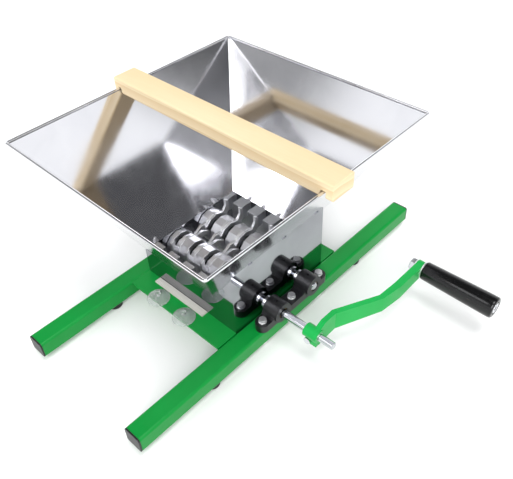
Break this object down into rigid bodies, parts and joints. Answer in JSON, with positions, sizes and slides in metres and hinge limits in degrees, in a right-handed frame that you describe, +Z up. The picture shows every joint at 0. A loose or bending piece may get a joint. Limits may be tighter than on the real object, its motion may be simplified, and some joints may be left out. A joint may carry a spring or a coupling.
{
  "type": "apple scratter",
  "caption": "Hand-cranked fruit crusher: toothed twin rollers under a sheet-metal hopper on two green rails, with a crank, gears and a wooden crossbar.",
  "frame": {"origin": "on the ground under the middle of the whole machine's bounding box, crank and crossbar included", "axes": "+X along the roller shafts towards the crank, +Y along the rails with the gear-driven roller on the +Y side, +Z up"},
  "size_m": [0.536, 0.57, 0.2912],
  "materials": {
    "green_paint": "emerald green enamel, medium gloss",
    "black_caps": "moulded black plastic",
    "black_rubber": "black rubber buffer",
    "polished_sheet": "stainless sheet, nearly mirror bright",
    "bright_zinc": "bright zinc plated steel",
    "cast_comb": "cast and milled",
    "black_block": "machined black nylon",
    "bush_brass": "turned bearing brass",
    "bright_shaft": "ground bright steel",
    "roller_steel": "stainless, milled facets",
    "spacer_metal": "turned",
    "gear_steel": "hobbed steel",
    "black_oxide": "blackened socket screws",
    "grip_plastic": "smooth glossy black",
    "pale_wood": "planed pale softwood",
    "clear_plastic": "clear soft plastic"
  },
  "bodies": {
    "frame": {"left_rail": "green_paint", "right_rail": "green_paint", "front_cross_plate": "green_paint", "rear_cross_plate": "green_paint", "rail_end_caps": "black_caps", "rubber_feet": "black_rubber", "foot_screws": "bright_zinc", "box_front_wall": "polished_sheet", "box_rear_wall": "polished_sheet", "box_left_wall": "polished_sheet", "box_right_wall": "polished_sheet", "throat_partition": "polished_sheet", "box_screws": "bright_zinc", "hopper_front_panel": "polished_sheet", "hopper_rear_panel": "polished_sheet", "hopper_left_panel": "polished_sheet", "hopper_right_panel": "polished_sheet", "hopper_rim": "polished_sheet", "front_comb": "cast_comb", "rear_comb": "cast_comb", "comb_screws": "bright_zinc", "left_bearing_block": "black_block", "right_bearing_block": "black_block", "bearing_bushes": "bush_brass", "block_bolts": "bright_zinc", "block_washers": "bright_zinc", "block_nuts": "bright_zinc", "clear_strip": "clear_plastic", "clear_suction_cups": "clear_plastic"},
    "drive": {"drive_shaft": "bright_shaft", "drive_rings": "roller_steel", "drive_spacers": "spacer_metal", "drive_blades": "roller_steel", "drive_gear": "gear_steel", "drive_gear_pin": "gear_steel", "drive_collars": "bright_shaft", "drive_collar_screws": "black_oxide", "crank_arm": "green_paint", "clamp_bolt": "bright_zinc", "clamp_nut": "bright_zinc", "grip_bolt": "bright_zinc", "grip_washers": "bright_zinc", "grip_nut": "bright_zinc"},
    "driven": {"driven_shaft": "bright_shaft", "driven_rings": "roller_steel", "driven_spacers": "spacer_metal", "driven_blades": "roller_steel", "driven_gear": "gear_steel", "driven_gear_pin": "gear_steel", "driven_collars": "bright_shaft", "driven_collar_screws": "black_oxide"},
    "grip": {"crank_grip": "grip_plastic"},
    "crossbar": {"wooden_crossbar": "pale_wood"}
  },
  "joints": [
    {"name": "crank_turn", "type": "hinge", "parent": "frame", "child": "drive", "pos_m": [0, -0.033, 0.0522], "axis": [1, 0, 0], "continuous": true},
    {"name": "driven_turn", "type": "hinge", "parent": "frame", "child": "driven", "pos_m": [0, 0.033, 0.0522], "axis": [1, 0, 0], "continuous": true},
    {"name": "grip_spin", "type": "hinge", "parent": "drive", "child": "grip", "pos_m": [0.213, 0.1626, 0.0522], "axis": [1, 0, 0], "continuous": true},
    {"name": "crossbar_lift", "type": "slide", "parent": "frame", "child": "crossbar", "axis": [0, 0, 1], "range_m": [0, 0.06]}
  ],
  "couplings": [
    {"joint": "driven_turn", "follows": "crank_turn", "ratio": -1}
  ]
}
